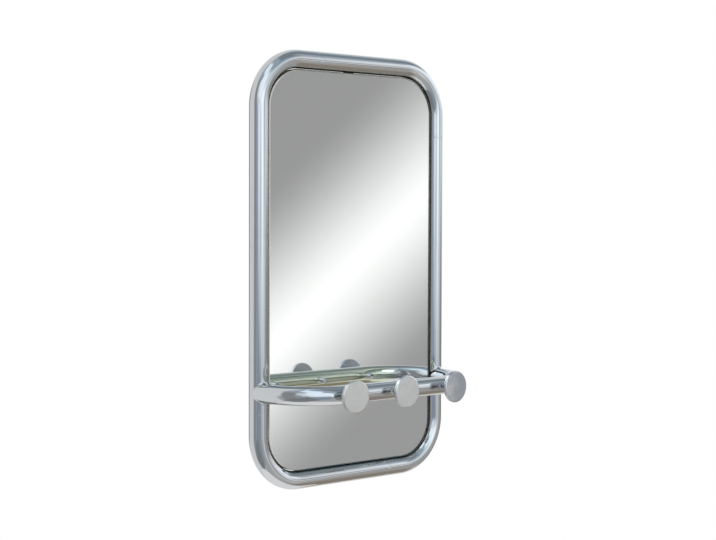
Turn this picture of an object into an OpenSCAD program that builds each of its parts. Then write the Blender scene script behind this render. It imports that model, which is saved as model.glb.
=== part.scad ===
// Wall mirror in a bent tube frame, with a bowed hook rail welded across its lower part.
// Millimetres. X runs to the right, Y towards the wall and Z up. The wall is the plane Y = 0.
// The origin lies on the wall, midway between the seats of the two hanger slots.

/* [Frame] */
// Outside width of the frame
frame_w = 411; // [330:1:520]
// Outside height of the frame
frame_h = 702; // [560:1:900]
// Outside diameter of the tube, in the frame and in the rail
tube_d = 30; // [24:0.5:36]
// Wall of the tube
tube_wall = 1.5; // [1:0.1:2.5]
// Bend radius of the frame's corners, on the tube's centre line
corner_r = 77.5; // [60:0.5:100]
// Gap between the back of the tube and the wall
wall_gap = 2.5; // [1:0.5:6]
// Length of the sleeve that is hidden inside the tube's butt joint
sleeve_l = 70; // [40:1:120]
// Wall of that sleeve
sleeve_wall = 1.5; // [1:0.1:2]

/* [Hook rail] */
// Height of the rail above the frame's bottom tube, from centre line to centre line
rail_rise = 146; // [100:1:260]
// Length of the straight part at each end of the rail, from the front of the frame to the bend
leg_l = 2; // [1:0.5:45]
// Bend radius of the rail, on the tube's centre line
rail_bend_r = 90; // [60:1:108]
// Size of the welds between the rail and the frame
weld_leg = 2.6; // [1.5:0.1:4]
// Diameter of the vent holes under the rail's ends
vent_d = 8; // [4:0.5:12]

/* [Hooks] */
// Distance from one hook to the next
hook_pitch = 106; // [75:1:112]
// Diameter of the round face of a hook
disc_d = 51; // [34:1:62]
// Thickness of that disc at its edge
disc_t = 5; // [4:0.5:12]
// Distance from the rail's centre line to the front of the disc
hook_reach = 33.2; // [31:0.2:45]
// Diameter of the neck between the rail and the disc
neck_d = 15; // [12:0.5:20]
// Radius of the flare where the neck meets the disc
neck_flare = 4.2; // [1:0.2:4.6]
// Diameter of the peg behind the rail
peg_d = 10; // [9:0.5:14]
// Length of the peg behind the rail
peg_l = 18; // [14:0.5:30]
// Diameter of the threaded stud through the rail
stud_d = 6; // [4:0.5:6]
// Depth of the threaded hole in a knob and in a peg
thread_l = 11; // [7:0.5:12]

/* [Mirror panel] */
// Thickness of the mirror glass
glass_t = 4; // [3:0.5:6]
// Distance from the frame's centre plane out to the front of the glass
glass_front = 8.5; // [7:0.5:11]
// Gap between the glass and the frame, at the sides and the bottom
panel_gap = 1; // [0.6:0.1:3]
// Gap between the glass and the frame at the top
top_gap = 2.5; // [0.6:0.1:4]
// Gap between the backing board and the frame, all round
board_gap = 0.8; // [0.5:0.1:3]
// Thickness of the silver and paint behind the glass
silver_t = 0.2; // [0.1:0.05:0.4]
// Thickness of the tape that holds the glass to the board
tape_t = 1; // [0.5:0.1:2]
// Width of a strip of that tape
tape_w = 25; // [15:1:40]
// Thickness of the backing board
board_t = 9; // [8:0.5:11]

/* [Fixings] */
// Thickness of the steel tabs that hold the board in the frame
tab_t = 2; // [1.5:0.1:3]
// Width of a tab
tab_w = 22; // [16:1:30]
// Distance from the inside of the frame to a tab's screw
tab_reach = 17; // [14:1:24]
// Diameter of the screws' shanks
screw_d = 3.5; // [3:0.1:4]
// Diameter of the screws' heads
screw_head_d = 8; // [7:0.1:9]
// Height of the screws' heads
screw_head_h = 2.6; // [2:0.1:3]
// Depth that a screw goes into the board
screw_bite = 7; // [5:0.5:7.5]

/* [Hanging] */
// Distance between the two hangers
hanger_pitch = 220; // [150:1:250]
// Distance from the top of the frame down to the hangers' slot seats
hanger_drop = 120; // [100:1:180]
// Width of a hanger
hanger_w = 24; // [20:1:30]
// Thickness of a hanger's steel
hanger_t = 2; // [1.5:0.1:2.5]
// Diameter of the round entry of a hanger's slot
entry_d = 9; // [8:0.5:11]
// Width of a hanger's slot
slot_w = 5; // [4:0.5:6]
// Distance from the slot's entry up to its seat
slot_l = 10; // [8:0.5:14]
// Diameter of a wall bumper at its foot
bumper_d = 22; // [18:1:28]
// Distance from the inside of the frame to a bumper's centre, each way
bumper_inset = 38; // [34:1:50]

/* [Hidden] */
$fn = 64;

// Clearances: between curved faces that are welded or clamped, round a screw or stud that turns
// in its own thread, and round one that passes through a hole.
seat_fit = 0.05;
thread_fit = 0.05;
pass_fit = 0.25;
// Room past a face that a cut has to clear.
over = 5;

tube_r = tube_d / 2;
bore_r = tube_r - tube_wall;
// Width and height of the frame, on the tube's centre line, and its centre plane.
ring_w = frame_w - tube_d;
ring_h = frame_h - tube_d;
ring_y = -(wall_gap + tube_r);
ring_z = hanger_drop - frame_h / 2;

// Distances from the frame's centre plane out to the rail's bends and to its front run
rail_leg = tube_r + leg_l;
rail_reach = rail_leg + rail_bend_r;
rail_y = ring_y - rail_reach;
rail_z = ring_z - ring_h / 2 + rail_rise;
rail_run = ring_w - 2 * rail_bend_r;

stud_r = stud_d / 2;
disc_r = disc_d / 2;
neck_r = neck_d / 2;
peg_r = peg_d / 2;
disc_back = hook_reach - disc_t;
disc_round = 0.8;
disc_bevel = 1.4;
disc_bevel_h = 0.7;
peg_bevel = 0.8;
// The stud stops short of the bottom of each threaded hole. Its length from the rail's centre line
// is the same both ways.
stud_short = 1;
stud_half = tube_r + thread_l - stud_short;
spacer_wall = 1.75;
spacer_r = stud_r + pass_fit + spacer_wall;
// A spacer's flat end meets the round bore at the spacer's own radius.
spacer_l = 2 * sqrt(bore_r * bore_r - spacer_r * spacer_r) - 2 * seat_fit;

panel_w = ring_w - tube_d - 2 * panel_gap;
panel_h = ring_h - tube_d - panel_gap - top_gap;
panel_z = ring_z + (panel_gap - top_gap) / 2;
panel_r = corner_r - tube_r - panel_gap;
glass_y = ring_y - glass_front;
silver_y = glass_y + glass_t;
tape_y = silver_y + silver_t;
board_y = tape_y + tape_t;
board_back = board_y + board_t;
silver_inset = 0.4;
tape_count = 4;
tape_l = panel_h - 2 * panel_r;

tab_back = board_back + tab_t;
inner_w = ring_w - tube_d;
inner_h = ring_h - tube_d;
// Height of the side tabs above and below the frame's middle.
tab_z = ring_h / 4;
bead_r = 1.8;
bead_stop = 3;
bead_l = tab_w - 2 * bead_stop;

foot_l = 16;
// A hanger's raised part covers its slot, with a margin above the seat and below the entry.
slot_margin = 8;
hanger_top = slot_w / 2 + slot_margin;
hanger_low = -(slot_l + entry_d / 2 + slot_margin);
// Rubber under a bumper's screw, the bumper's taper, and the room round the screw's head
bumper_seat = 4;
bumper_slim = 1.5;
head_room = 1;

// A round bar of radius r bent along the frame's centre line.
module ring_bar(r) {
    run_x = ring_w / 2 - corner_r;
    run_z = ring_h / 2 - corner_r;
    corners = [[run_x, run_z], [-run_x, run_z], [-run_x, -run_z], [run_x, -run_z]];
    translate([0, ring_y, ring_z]) rotate([90, 0, 0]) {
        for (side = [-1, 1]) {
            translate([side * ring_w / 2, -run_z, 0]) rotate([-90, 0, 0]) cylinder(r = r, h = 2 * run_z);
            translate([-run_x, side * ring_h / 2, 0]) rotate([0, 90, 0]) cylinder(r = r, h = 2 * run_x);
        }
        for (q = [0:3])
            translate([corners[q][0], corners[q][1], 0]) rotate([0, 0, 90 * q])
                rotate_extrude(angle = 90) translate([corner_r, 0]) circle(r = r);
    }
}

// A round bar of radius r bent along the rail's centre line, from side tube to side tube.
module rail_bar(r) {
    translate([0, ring_y, rail_z]) {
        for (side = [-1, 1]) {
            translate([side * ring_w / 2, 0, 0]) rotate([90, 0, 0]) cylinder(r = r, h = rail_leg);
            translate([side * rail_run / 2, -rail_leg, 0]) rotate([0, 0, side > 0 ? -90 : 180])
                rotate_extrude(angle = 90) translate([rail_bend_r, 0]) circle(r = r);
        }
        translate([-rail_run / 2, -rail_reach, 0]) rotate([0, 90, 0]) cylinder(r = r, h = rail_run);
    }
}

// The side tube at the height of the rail, as a solid bar, for what is cut to fit it.
module side_bar(side, r, h) {
    translate([side * ring_w / 2, ring_y, rail_z - h / 2]) cylinder(r = r, h = h);
}

// Children drawn along +Z from the rail's centre line end up pointing forward at one hook. Hooks
// that lie in the rail's bends turn with them.
module at_hook(place) {
    side = sign(place);
    along = abs(place) * hook_pitch;
    straight = min(along, rail_run / 2);
    turn = (along - straight) / rail_bend_r * 180 / PI;
    x = straight + rail_bend_r * sin(turn);
    y = rail_y + rail_bend_r * (1 - cos(turn));
    translate([side * x, y, rail_z]) rotate([90, 0, side * turn]) children();
}

module frame_tube() {
    color("silver") difference() {
        ring_bar(tube_r);
        ring_bar(bore_r);
        for (side = [-1, 1])
            translate([side * ring_w / 2, ring_y, rail_z]) rotate([90, 0, 0])
                cylinder(d = vent_d, h = tube_r + over);
    }
}

module joint_sleeve() {
    outer = bore_r - seat_fit;
    color("dimgray") translate([-sleeve_l / 2, ring_y, ring_z - ring_h / 2]) rotate([0, 90, 0])
        difference() {
            cylinder(r = outer, h = sleeve_l);
            translate([0, 0, -over]) cylinder(r = outer - sleeve_wall, h = sleeve_l + 2 * over);
        }
}

module hook_rail() {
    color("silver") difference() {
        rail_bar(tube_r);
        rail_bar(bore_r);
        for (side = [-1, 1]) side_bar(side, tube_r + seat_fit, 2 * tube_d);
        for (place = [-1:1])
            at_hook(place) translate([0, 0, -tube_r - over])
                cylinder(r = stud_r + pass_fit, h = tube_d + 2 * over);
    }
}

// One weld: a bead above and one below, in the corner between the side tube and the rail's end.
// Each bead is the part of a block that lies near both tubes and in neither.
module rail_weld(side) {
    reach = tube_r + weld_leg;
    span = 2 * (tube_r - weld_leg);
    // The beads stop where the two tubes' surfaces cross at this height, short of their sides.
    low = sqrt(tube_r * tube_r - span * span / 4) - seat_fit;
    color("gainsboro") for (up = [0, 1])
        translate([side * ring_w / 2, ring_y, rail_z]) mirror([0, 0, up]) difference() {
            intersection() {
                cylinder(r = reach, h = reach);
                rotate([90, 0, 0]) cylinder(r = reach, h = reach);
                translate([-span / 2, -reach, low]) cube([span, reach - low, reach]);
            }
            cylinder(r = tube_r + seat_fit, h = 2 * tube_d);
            rotate([90, 0, 0]) cylinder(r = tube_r + seat_fit, h = 2 * tube_d);
        }
}

// Half outline of a knob: neck, flare and disc with a rounded back edge and a bevelled face.
module knob_outline() {
    difference() {
        union() {
            square([neck_r, hook_reach - disc_bevel_h]);
            translate([0, disc_back - neck_flare]) square([neck_r + neck_flare, neck_flare]);
            translate([0, disc_back]) square([disc_r - disc_round, disc_round]);
            translate([disc_r - disc_round, disc_back + disc_round]) circle(r = disc_round);
            translate([0, disc_back + disc_round]) square([disc_r, disc_t - disc_round - disc_bevel_h]);
            polygon([[0, hook_reach - disc_bevel_h], [disc_r, hook_reach - disc_bevel_h],
                     [disc_r - disc_bevel, hook_reach], [0, hook_reach]]);
        }
        translate([neck_r + neck_flare, disc_back - neck_flare]) circle(r = neck_flare);
    }
}

module hook_knob(place) {
    color("lightgray") difference() {
        at_hook(place) rotate_extrude() knob_outline();
        rail_bar(tube_r + seat_fit);
        at_hook(place) cylinder(r = stud_r + thread_fit, h = tube_r + thread_l);
    }
}

module hook_peg(place) {
    tip = tube_r + peg_l;
    color("lightgray") difference() {
        at_hook(place) rotate([180, 0, 0]) rotate_extrude()
            polygon([[0, 0], [peg_r, 0], [peg_r, tip - peg_bevel], [peg_r - peg_bevel, tip], [0, tip]]);
        rail_bar(tube_r + seat_fit);
        at_hook(place) rotate([180, 0, 0]) cylinder(r = stud_r + thread_fit, h = tube_r + thread_l);
    }
}

module hook_studs() {
    color("dimgray") for (place = [-1:1])
        at_hook(place) translate([0, 0, -stud_half]) cylinder(r = stud_r, h = 2 * stud_half);
}

module rail_spacers() {
    color("dimgray") for (place = [-1:1])
        at_hook(place) translate([0, 0, -spacer_l / 2]) difference() {
            cylinder(r = spacer_r, h = spacer_l);
            translate([0, 0, -over]) cylinder(r = stud_r + pass_fit, h = spacer_l + 2 * over);
        }
}

// A rectangle with round corners, w by h, centred.
module round_rect(w, h, r) {
    square([w - 2 * r, h], center = true);
    square([w, h - 2 * r], center = true);
    for (x = [-1, 1], y = [-1, 1]) translate([x * (w / 2 - r), y * (h / 2 - r)]) circle(r = r);
}

// A sheet with the glass's outline, drawn in by inset, from y to y + t.
module glass_sheet(y, t, inset) {
    translate([0, y + t, panel_z]) rotate([90, 0, 0]) linear_extrude(t)
        round_rect(panel_w - 2 * inset, panel_h - 2 * inset, panel_r - inset);
}

module mirror_glass() {
    color("lightblue") glass_sheet(glass_y, glass_t, 0);
}

module mirror_silvering() {
    color("whitesmoke") glass_sheet(silver_y, silver_t, silver_inset);
}

module mounting_tapes() {
    spacing = (panel_w - 2 * tape_w) / (tape_count - 1);
    color("white") for (i = [0:tape_count - 1])
        translate([(i - (tape_count - 1) / 2) * spacing - tape_w / 2, tape_y, panel_z - tape_l / 2])
            cube([tape_w, tape_t, tape_l]);
}

// Children drawn with their back on the plane Z = 0 and pointing up are set on the board's back
// plane at each tab: at the hole of the tab, and turned so that -X is the tube's side.
module at_tabs() {
    side_x = inner_w / 2 - tab_reach;
    end_z = inner_h / 2 - tab_reach;
    places = [[side_x, tab_z, 180], [side_x, -tab_z, 180], [-side_x, tab_z, 0], [-side_x, -tab_z, 0],
              [0, end_z, 90], [0, -end_z, -90]];
    for (p = places)
        translate([p[0], board_back, ring_z + p[1]]) rotate([-90, 0, 0]) rotate([0, 0, p[2]]) children();
}

module at_hanger_feet() {
    for (side = [-1, 1], z = [hanger_top + foot_l / 2, hanger_low - foot_l / 2])
        translate([side * hanger_pitch / 2, board_back, z]) rotate([-90, 0, 0]) children();
}

module at_bumpers() {
    for (x = [-1, 1], z = [-1, 1])
        translate([x * (inner_w / 2 - bumper_inset), board_back, ring_z + z * (inner_h / 2 - bumper_inset)])
            rotate([-90, 0, 0]) children();
}

// A pan-head screw with a crossed slot. Its head sits on the plane Z = seat, and it goes down
// into the board, whose back is the plane Z = 0.
module board_screw(seat) {
    slot_t = 1;
    slot_deep = 1.2;
    slot_half = screw_d * 0.6;
    tip_l = 1.5;
    tip_d = 1;
    dome_h = 1;
    dome_in = 1.2;
    difference() {
        union() {
            translate([0, 0, seat]) cylinder(d = screw_head_d, h = screw_head_h - dome_h);
            translate([0, 0, seat + screw_head_h - dome_h])
                cylinder(d1 = screw_head_d, d2 = screw_head_d - 2 * dome_in, h = dome_h);
            translate([0, 0, -screw_bite + tip_l]) cylinder(d = screw_d, h = seat + screw_bite - tip_l);
            translate([0, 0, -screw_bite]) cylinder(d1 = tip_d, d2 = screw_d, h = tip_l);
        }
        for (turn = [0, 90])
            rotate([0, 0, turn]) translate([-slot_half, -slot_t / 2, seat + screw_head_h - slot_deep])
                cube([2 * slot_half, slot_t, slot_deep + over]);
    }
}

// The hole in the board for such a screw, a little deeper than its tip.
module pilot() {
    depth = screw_bite + 0.5;
    translate([0, 0, -depth]) cylinder(d = screw_d + 2 * thread_fit, h = depth + over);
}

module backing_board() {
    color("#2b2622") difference() {
        translate([0, board_back, ring_z]) rotate([90, 0, 0]) linear_extrude(board_t)
            round_rect(inner_w - 2 * board_gap, inner_h - 2 * board_gap, corner_r - tube_r - board_gap);
        at_tabs() pilot();
        at_hanger_feet() pilot();
        at_bumpers() pilot();
    }
}

// Each tab is cut to the tube that it is welded to, and has one hole for its screw.
module panel_tabs() {
    color("silver") difference() {
        at_tabs() difference() {
            linear_extrude(tab_t) {
                circle(d = tab_w);
                translate([-tab_reach - tube_r / 2, -tab_w / 2]) square([tab_reach + tube_r / 2, tab_w]);
            }
            translate([0, 0, -over]) cylinder(d = screw_d + 2 * pass_fit, h = tab_t + 2 * over);
        }
        ring_bar(tube_r + seat_fit);
    }
}

module tab_welds() {
    // The corner lies where the tab's back face runs into the round tube.
    depth = tab_back - ring_y;
    corner = tube_r - sqrt(tube_r * tube_r - depth * depth);
    color("gainsboro") difference() {
        at_tabs() translate([-tab_reach - corner, bead_l / 2, tab_t]) rotate([90, 0, 0])
            cylinder(r = bead_r, h = bead_l);
        ring_bar(tube_r + seat_fit);
        at_tabs() translate([-tab_reach - tube_r, -tab_w / 2, -tab_t])
            cube([2 * tab_reach, tab_w, 2 * tab_t + seat_fit]);
    }
}

module panel_screws() {
    color("dimgray") at_tabs() board_screw(tab_t);
}

// A keyhole hanger: two feet on the board and a raised plate whose back lies on the wall.
module hanger(side) {
    lift = -board_back;
    color("silver") translate([side * hanger_pitch / 2, 0, 0]) difference() {
        translate([-hanger_w / 2, 0, 0]) rotate([90, 0, 90]) linear_extrude(hanger_w) {
            translate([-hanger_t, hanger_low]) square([hanger_t, hanger_top - hanger_low]);
            for (z = [hanger_low, hanger_top - hanger_t]) translate([-lift, z]) square([lift, hanger_t]);
            translate([-lift, hanger_top - hanger_t]) square([hanger_t, foot_l + hanger_t]);
            translate([-lift, hanger_low - foot_l]) square([hanger_t, foot_l + hanger_t]);
        }
        translate([0, over, 0]) rotate([90, 0, 0]) {
            cylinder(d = slot_w, h = hanger_t + 2 * over);
            translate([0, -slot_l, 0]) cylinder(d = entry_d, h = hanger_t + 2 * over);
            translate([-slot_w / 2, -slot_l, 0]) cube([slot_w, slot_l, hanger_t + 2 * over]);
        }
        for (z = [hanger_top + foot_l / 2, hanger_low - foot_l / 2])
            translate([0, board_back - over, z]) rotate([-90, 0, 0])
                cylinder(d = screw_d + 2 * pass_fit, h = over + lift / 2 + hanger_t / 2);
    }
}

module hanger_screws() {
    color("dimgray") at_hanger_feet() board_screw(hanger_t);
}

module wall_bumpers() {
    lift = -board_back;
    foot_r = bumper_d / 2;
    color("#202020") at_bumpers() difference() {
        cylinder(r1 = foot_r, r2 = foot_r - bumper_slim, h = lift);
        translate([0, 0, -over]) cylinder(d = screw_d + 2 * pass_fit, h = lift + 2 * over);
        translate([0, 0, bumper_seat]) cylinder(d = screw_head_d + 2 * head_room, h = lift);
    }
}

module bumper_screws() {
    color("dimgray") at_bumpers() board_screw(bumper_seat);
}

frame_tube();
joint_sleeve();
hook_rail();
rail_weld(-1);  // rail_weld_left
rail_weld(1);  // rail_weld_right
hook_knob(-1);  // hook_knob_left
hook_knob(0);  // hook_knob_centre
hook_knob(1);  // hook_knob_right
hook_peg(-1);  // hook_peg_left
hook_peg(0);  // hook_peg_centre
hook_peg(1);  // hook_peg_right
hook_studs();
rail_spacers();
mirror_glass();
mirror_silvering();
mounting_tapes();
backing_board();
panel_tabs();
tab_welds();
panel_screws();
hanger(-1);  // hanger_left
hanger(1);  // hanger_right
hanger_screws();
wall_bumpers();
bumper_screws();
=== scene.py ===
"""Looks of a tall wall mirror in a bent tube frame, with a bowed hook rail across its lower part."""
import math

import bmesh
import bpy
from mathutils import Matrix, Vector, noise


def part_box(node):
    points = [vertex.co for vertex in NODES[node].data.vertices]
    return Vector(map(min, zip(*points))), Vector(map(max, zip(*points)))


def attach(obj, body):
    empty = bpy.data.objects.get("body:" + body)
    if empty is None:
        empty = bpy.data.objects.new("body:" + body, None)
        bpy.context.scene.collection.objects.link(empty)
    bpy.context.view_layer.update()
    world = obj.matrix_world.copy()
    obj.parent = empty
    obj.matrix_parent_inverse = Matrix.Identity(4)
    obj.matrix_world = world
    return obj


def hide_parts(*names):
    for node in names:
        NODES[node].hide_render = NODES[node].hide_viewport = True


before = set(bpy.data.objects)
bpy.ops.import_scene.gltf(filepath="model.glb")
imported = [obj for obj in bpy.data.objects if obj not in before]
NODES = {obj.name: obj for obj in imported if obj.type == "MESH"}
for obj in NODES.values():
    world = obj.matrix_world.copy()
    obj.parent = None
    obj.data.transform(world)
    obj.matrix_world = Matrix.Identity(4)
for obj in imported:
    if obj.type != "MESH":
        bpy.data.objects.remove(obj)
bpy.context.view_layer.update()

MM = 0.001


# ---- sizes, read from the frame

def corners(node):
    """Lowest and highest corner of a CAD node, as vectors."""
    low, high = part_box(node)
    return Vector(low), Vector(high)


RING_LOW, RING_HIGH = corners("frame_tube")
TUBE_R = (RING_HIGH.y - RING_LOW.y) / 2
RING = (RING_LOW + RING_HIGH) / 2
RING_HALF_W = (RING_HIGH.x - RING_LOW.x) / 2 - TUBE_R
RING_HALF_H = (RING_HIGH.z - RING_LOW.z) / 2 - TUBE_R
CORNER_R = 77.5 * MM

RAIL_LOW, RAIL_HIGH = corners("hook_rail")
RAIL_Y = RAIL_LOW.y + TUBE_R
RAIL_Z = (RAIL_LOW.z + RAIL_HIGH.z) / 2
RAIL_BEND_R = 90 * MM

GLASS_LOW, GLASS_HIGH = corners("mirror_glass")
PANEL_R = CORNER_R - TUBE_R - 1 * MM
BOARD_BACK = corners("backing_board")[1].y

HOOK_PITCH = 106 * MM
KNOB_LOW, KNOB_HIGH = corners("hook_knob_centre")
DISC_R = (KNOB_HIGH.x - KNOB_LOW.x) / 2
HOOK_REACH = RAIL_Y - KNOB_LOW.y
DISC_T = 5 * MM
PEG_LOW, PEG_HIGH = corners("hook_peg_centre")
PEG_R = (PEG_HIGH.x - PEG_LOW.x) / 2
PEG_TIP = PEG_HIGH.y - RAIL_Y

FLOOR_DROP = 0.95

# Points of a CAD node that lie closer than this are one point.
SAME_POINT = 0.001 * MM


def hook_axis(place):
    """Places a piece drawn along -Y from the rail's centre line at a hook: -1 left, 0, 1 right.

    The outer hooks lie where the rail's bends begin, and turn with them.
    """
    side = math.copysign(1, place)
    along = abs(place) * HOOK_PITCH
    straight = min(along, RING_HALF_W - RAIL_BEND_R)
    turn = (along - straight) / RAIL_BEND_R
    x = straight + RAIL_BEND_R * math.sin(turn)
    y = RAIL_Y + RAIL_BEND_R * (1 - math.cos(turn))
    return Matrix.Translation((side * x, y, RAIL_Z)) @ Matrix.Rotation(side * turn, 4, "Z")


def islands(node):
    """Boxes of the separate solids in one CAD node, as (lowest, highest) corners."""
    bm = bmesh.new()
    bm.from_mesh(NODES[node].data)
    bmesh.ops.remove_doubles(bm, verts=bm.verts, dist=SAME_POINT)
    left = set(bm.verts)
    boxes = []
    while left:
        stack = [left.pop()]
        low = stack[0].co.copy()
        high = stack[0].co.copy()
        while stack:
            vert = stack.pop()
            low = Vector(map(min, low, vert.co))
            high = Vector(map(max, high, vert.co))
            for edge in vert.link_edges:
                other = edge.other_vert(vert)
                if other in left:
                    left.remove(other)
                    stack.append(other)
        boxes.append((low, high))
    bm.free()
    return sorted(boxes, key=lambda b: (round(b[0].x, 4), round(b[0].z, 4)))


# ---- node trees

# A Mix node has a set of sockets for each kind of data; these are the factor, A and B of a colour.
MIX_COLOUR_SOCKETS = (0, 6, 7)
MIX_COLOUR_RESULT = 2


class Recipe:
    """Adds nodes to one tree. A value that is a socket is linked, and any other value is set."""

    def __init__(self, tree):
        self.tree = tree
        tree.nodes.clear()

    def add(self, kind, values=None, **settings):
        made = self.tree.nodes.new(kind)
        for name, value in settings.items():
            setattr(made, name, value)
        for name, value in (values or {}).items():
            self.put(made.inputs[name], value)
        return made

    def put(self, socket, value):
        if isinstance(value, bpy.types.NodeSocket):
            self.tree.links.new(value, socket)
        else:
            socket.default_value = value

    def math(self, operation, *values):
        made = self.add("ShaderNodeMath", operation=operation)
        for socket, value in zip(made.inputs, values):
            self.put(socket, value)
        return made.outputs[0]

    def span(self, value, low, high, to_low=0.0, to_high=1.0, shape="SMOOTHSTEP"):
        made = self.add("ShaderNodeMapRange", {"Value": value, "From Min": low, "From Max": high,
                                               "To Min": to_low, "To Max": to_high},
                        interpolation_type=shape)
        return made.outputs["Result"]

    def mix(self, share, first, second, blend="MIX"):
        made = self.add("ShaderNodeMix", data_type="RGBA", blend_type=blend, clamp_factor=True)
        for place, value in zip(MIX_COLOUR_SOCKETS, (share, first, second)):
            self.put(made.inputs[place], value)
        return made.outputs[MIX_COLOUR_RESULT]

    def noise(self, vector, scale, detail=2.0, roughness=0.5, distortion=0.0):
        made = self.add("ShaderNodeTexNoise", {"Vector": vector, "Scale": scale, "Detail": detail,
                                               "Roughness": roughness, "Distortion": distortion})
        return made.outputs["Fac"]

    def cells(self, vector, scale):
        """Distance from the middle of the nearest cell."""
        return self.add("ShaderNodeTexVoronoi", {"Vector": vector, "Scale": scale}).outputs["Distance"]

    def stretch(self, vector, scale, turn=(0, 0, 0)):
        made = self.add("ShaderNodeMapping", {"Vector": vector, "Scale": scale, "Rotation": turn})
        return made.outputs["Vector"]

    def parts(self, vector):
        """X, Y and Z of a vector."""
        return self.add("ShaderNodeSeparateXYZ", {"Vector": vector}).outputs

    def product(self, first, second):
        return self.math("MULTIPLY", first, second)

    def shape(self, kind, geometry, values):
        """One step that takes a geometry and gives one."""
        return self.add("GeometryNode" + kind, {"Geometry": geometry, **values}).outputs["Geometry"]

    def bump(self, height, strength, distance, under=None):
        """A normal that follows a height. The distance is the height's full swing, in metres."""
        values = {"Height": height, "Strength": strength, "Distance": distance}
        if under:
            values["Normal"] = under
        return self.add("ShaderNodeBump", values).outputs["Normal"]


def rgb(red, green, blue):
    return (red, green, blue, 1.0)


def new_tree(kind, name, inputs, outputs):
    """An empty node tree with named sockets. Each input is (name, kind, default or None)."""
    tree = bpy.data.node_groups.new(name, kind)
    for label, sort, default in inputs:
        socket = tree.interface.new_socket(label, in_out="INPUT", socket_type="NodeSocket" + sort)
        if default is not None:
            socket.default_value = default
    for label, sort in outputs:
        tree.interface.new_socket(label, in_out="OUTPUT", socket_type="NodeSocket" + sort)
    recipe = Recipe(tree)
    inside = recipe.add("NodeGroupInput")
    outside = recipe.add("NodeGroupOutput")
    return tree, recipe, inside.outputs, outside.inputs


def polish_wear_group():
    """Handling marks on a bright metal: smears, hairline scratches and a few pits."""
    group, r, given, out = new_tree(
        "ShaderNodeTree", "polish wear",
        [("Vector", "Vector", None), ("Amount", "Float", 1.0)],
        [("Smear", "Float"), ("Scratch", "Float"), ("Pit", "Float"), ("Height", "Float")])
    place = given["Vector"]
    broad = r.noise(place, 9.0, 3.0, 0.55)
    fine = r.noise(place, 60.0, 4.0, 0.6)
    smear = r.product(r.span(broad, 0.42, 0.72), r.span(fine, 0.3, 0.75))
    hair = r.noise(r.stretch(place, (2600.0, 900.0, 22.0), (0.4, 0.2, 0.15)), 1.0, 1.0, 0.4)
    cross = r.noise(r.stretch(place, (40.0, 1500.0, 2400.0), (0.1, 0.5, 0.9)), 1.0, 1.0, 0.4)
    patch = r.span(r.noise(place, 23.0), 0.45, 0.7)
    lines = r.math("MAXIMUM", r.span(hair, 0.68, 0.78), r.span(cross, 0.7, 0.8))
    scratch = r.product(lines, patch)
    cells = r.cells(place, 420.0)
    rare = r.span(r.noise(place, 31.0), 0.66, 0.74)
    pit = r.product(r.span(cells, 0.10, 0.18, 1.0, 0.0), rare)
    height = r.math("SUBTRACT", r.product(scratch, -0.35), pit)
    for name, value in (("Smear", smear), ("Scratch", scratch), ("Pit", pit), ("Height", height)):
        r.put(out[name], r.product(value, given["Amount"]))
    return group


def dust_group():
    """A thin settled dust, thicker on faces that look up."""
    group, r, given, out = new_tree(
        "ShaderNodeTree", "settled dust",
        [("Vector", "Vector", None), ("Normal", "Vector", None)],
        [("Dust", "Float")])
    lay = r.span(r.parts(given["Normal"])["Z"], 0.2, 1.0, 0.12, 1.0)
    speck = r.span(r.noise(given["Vector"], 900.0, 3.0, 0.7), 0.48, 0.7)
    film = r.span(r.noise(given["Vector"], 35.0, 3.0), 0.35, 0.75)
    both = r.math("ADD", r.product(speck, 0.5), r.product(film, 0.5))
    r.put(out["Dust"], r.product(lay, both))
    return group


class Finish(Recipe):
    """A material with one Principled shader, patterned by the object's own coordinates."""

    def __init__(self, name, **constants):
        """The constants are set on the shader's sockets: a name's _ stands for a space."""
        self.material = bpy.data.materials.new(name)
        self.material.use_nodes = True
        super().__init__(self.material.node_tree)
        shader = self.add("ShaderNodeBsdfPrincipled")
        output = self.add("ShaderNodeOutputMaterial")
        self.put(output.inputs["Surface"], shader.outputs["BSDF"])
        self.inputs = shader.inputs
        for socket, value in constants.items():
            self.inputs[socket.replace("_", " ")].default_value = value
        self.place = self.add("ShaderNodeTexCoord").outputs["Object"]

    def worn(self, wear, amount):
        """The smears, scratches and pits of the polish wear group."""
        return self.add("ShaderNodeGroup", {"Vector": self.place, "Amount": amount}, node_tree=wear).outputs

    def dusty(self, dust, normal, share, tone, settled):
        """The tone under a coat of dust."""
        coat = self.add("ShaderNodeGroup", {"Vector": self.place, "Normal": normal}, node_tree=dust)
        return self.mix(self.product(coat.outputs["Dust"], share), tone, settled)

    def done(self, colour, rough=None, normal=None):
        """Links what varies over the surface and hands the material back."""
        for socket, value in (("Base Color", colour), ("Roughness", rough), ("Normal", normal)):
            if value is not None:
                self.put(self.inputs[socket], value)
        return self.material


# The painted green tint behind the rail, which stands in for light bounced between the rail and the mirror:
# how deep it is when it is full, and where it runs out to either side.
PAINTED_TINT_FULL = 8 * MM
PAINTED_TINT_ENDS = (160 * MM, 140 * MM)


def behind_rail(r):
    """How far a point of the rail lies on its inner side, facing the mirror, where the painted tint goes;
    the legs get none.
    """
    parts = r.parts(r.place)
    out = r.math("ABSOLUTE", parts["X"])
    bend_x = r.math("MAXIMUM", r.math("SUBTRACT", out, RING_HALF_W - RAIL_BEND_R), 0.0)
    bend_y = r.math("SUBTRACT", parts["Y"], RAIL_Y + RAIL_BEND_R)
    far = r.math("SQRT", r.math("ADD", r.math("POWER", bend_x, 2.0), r.product(bend_y, bend_y)))
    # film is the painted green tint's share: full on the rail's side that faces the mirror
    film = r.span(far, RAIL_BEND_R, RAIL_BEND_R - PAINTED_TINT_FULL)
    return r.product(film, r.span(out, *PAINTED_TINT_ENDS))


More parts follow.
